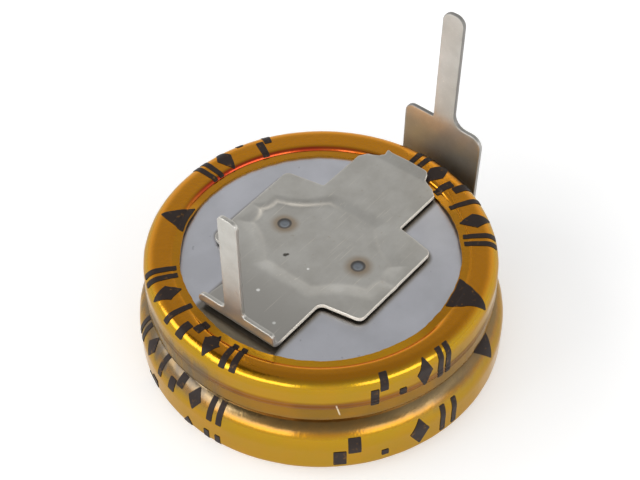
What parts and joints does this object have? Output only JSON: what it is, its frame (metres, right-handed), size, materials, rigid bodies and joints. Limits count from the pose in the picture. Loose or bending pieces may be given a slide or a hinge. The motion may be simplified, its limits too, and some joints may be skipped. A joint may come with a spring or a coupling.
{
  "type": "coin supercapacitor",
  "caption": "Coin-type double-layer capacitor: stacked sealed cells in an amber shrink film, with a welded sheet terminal on each end face and upright pins for a circuit board.",
  "frame": {"origin": "on the axis of the cells, in the plane of the lower terminal's underside that the part rests on", "axes": "+Z along the axis of the cells towards the pin tips; +X from the short pin towards the pin on the riser"},
  "size_m": [0.0213, 0.0208, 0.0166],
  "materials": {
    "cell_metal": "smooth plated steel, cool grey, softly reflective",
    "amber_film": null,
    "terminal_metal": "satin tinned sheet steel, warm grey"
  },
  "bodies": {
    "root": {"upper_cell": "cell_metal", "lower_cell": "cell_metal", "sleeve": "amber_film", "upper_terminal": "terminal_metal", "lower_terminal": "terminal_metal"}
  },
  "joints": []
}
